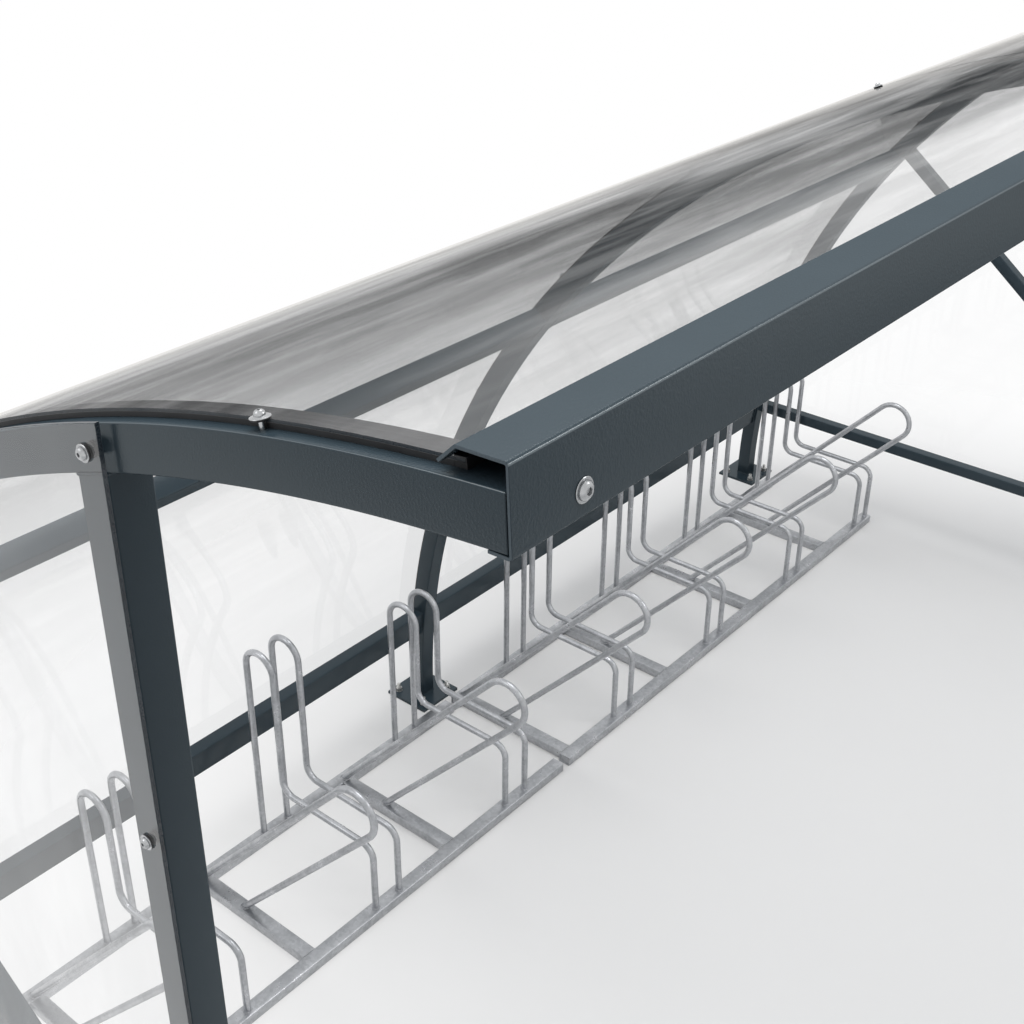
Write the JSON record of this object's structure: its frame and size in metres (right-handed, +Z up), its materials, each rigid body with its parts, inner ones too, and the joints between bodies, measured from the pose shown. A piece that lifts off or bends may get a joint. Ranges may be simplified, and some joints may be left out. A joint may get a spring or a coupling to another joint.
{
  "type": "quarter-round bike shelter",
  "caption": "Open-fronted bike shelter with bent quarter-round frames, clear bent roof sheets, clear gable panels and rows of tube hoops that hold the wheels.",
  "frame": {"origin": "on the ground, at the middle of the shelter's length and depth", "axes": "+X along the length, +Y from the open front to the rear, +Z up"},
  "size_m": [4.16, 2.129, 2.3589],
  "materials": {
    "frame_steel": "fine textured powder coat",
    "galvanised_steel": "hot-dip galvanised",
    "clear_sheet": "clear polycarbonate",
    "rubber": "matt"
  },
  "bodies": {
    "root": {"arch_left": "frame_steel", "arch_middle": "frame_steel", "arch_right": "frame_steel", "front_post_left": "frame_steel", "front_post_right": "frame_steel", "rear_foot_left": "frame_steel", "rear_foot_middle": "frame_steel", "rear_foot_right": "frame_steel", "post_foot_left": "frame_steel", "post_foot_right": "frame_steel", "eave_brackets": "frame_steel", "front_eave": "frame_steel", "purlin_left": "frame_steel", "purlin_right": "frame_steel", "lower_rail_left": "frame_steel", "lower_rail_right": "frame_steel", "side_rail_left": "frame_steel", "side_rail_right": "frame_steel", "side_brace_left": "frame_steel", "side_brace_right": "frame_steel", "roof_sheet_left": "clear_sheet", "roof_sheet_right": "clear_sheet", "gasket_left": "rubber", "gasket_middle": "rubber", "gasket_right": "rubber", "front_seal_left": "rubber", "front_seal_right": "rubber", "side_panel_left": "clear_sheet", "side_panel_right": "clear_sheet", "panel_spacers_left": "rubber", "panel_spacers_right": "rubber", "rack_front_rail_left": "galvanised_steel", "rack_rear_rail_left": "galvanised_steel", "rack_cross_bars_left": "galvanised_steel", "high_hoops_left": "galvanised_steel", "low_hoops_left": "galvanised_steel", "leaning_loops_left": "galvanised_steel", "rack_front_rail_right": "galvanised_steel", "rack_rear_rail_right": "galvanised_steel", "rack_cross_bars_right": "galvanised_steel", "high_hoops_right": "galvanised_steel", "low_hoops_right": "galvanised_steel", "leaning_loops_right": "galvanised_steel"}
  },
  "joints": []
}
